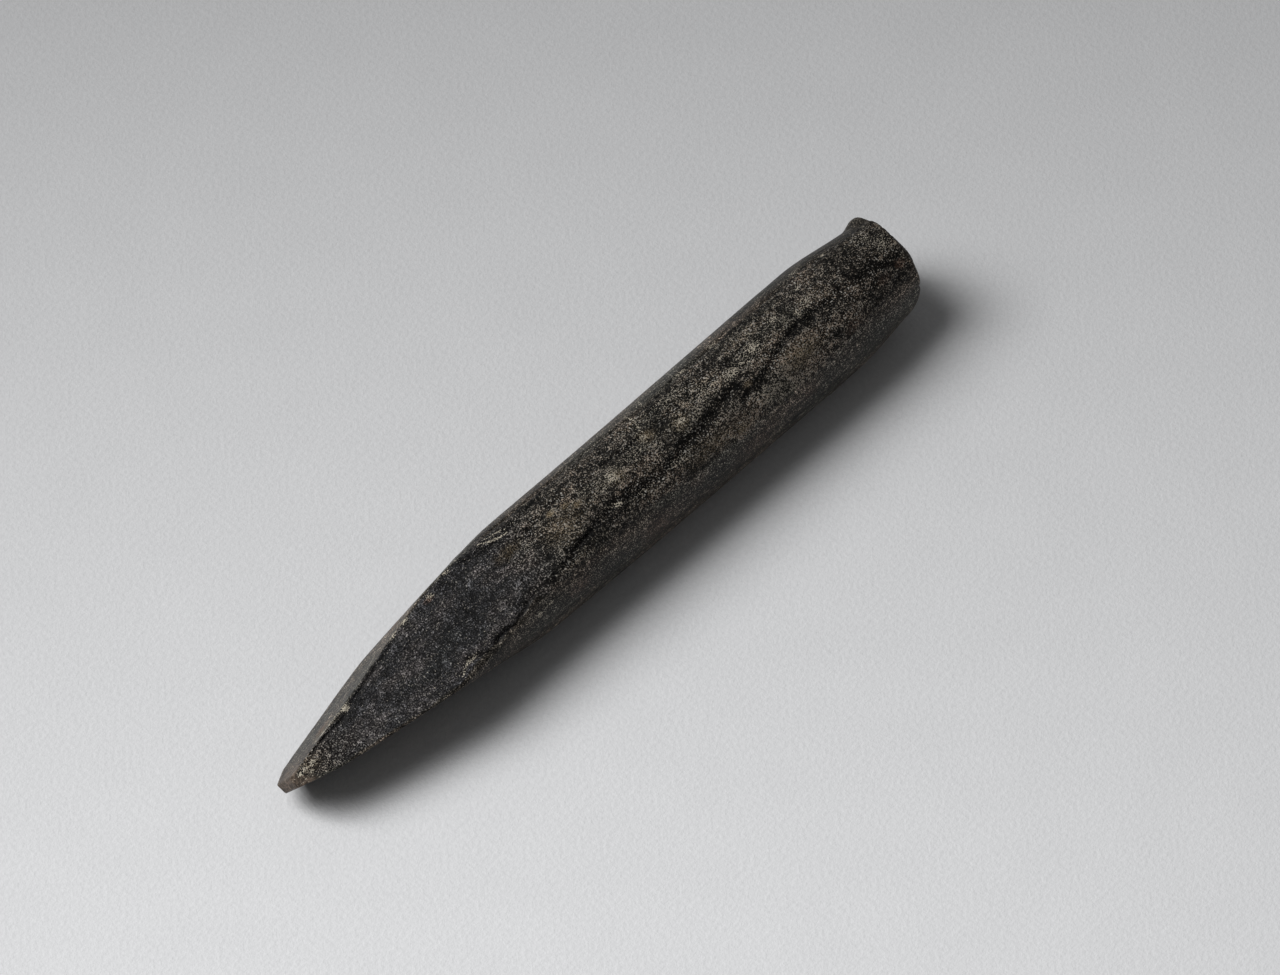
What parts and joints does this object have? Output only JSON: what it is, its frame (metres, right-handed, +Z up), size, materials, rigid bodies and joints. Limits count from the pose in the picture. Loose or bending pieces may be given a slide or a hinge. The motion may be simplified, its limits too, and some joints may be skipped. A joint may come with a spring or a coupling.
{
  "type": "bronze chisel",
  "caption": "Ancient round-bar chisel of solid bronze, tapered by flat facets to a narrow blunt cutting edge and hammered at the other end.",
  "frame": {"origin": "middle of the bounding box at the surface that the bar lies on", "axes": "+X along the bar from its cutting edge to its struck end, +Z up, -Y on the side that the upper narrow side of the blade leans to"},
  "size_m": [0.16, 0.0224, 0.0219],
  "materials": {
    "bronze": "dark grainy corrosion crust above, smooth brown patina on the sides and at the tip"
  },
  "bodies": {
    "root": {"chisel": "bronze"}
  },
  "joints": []
}
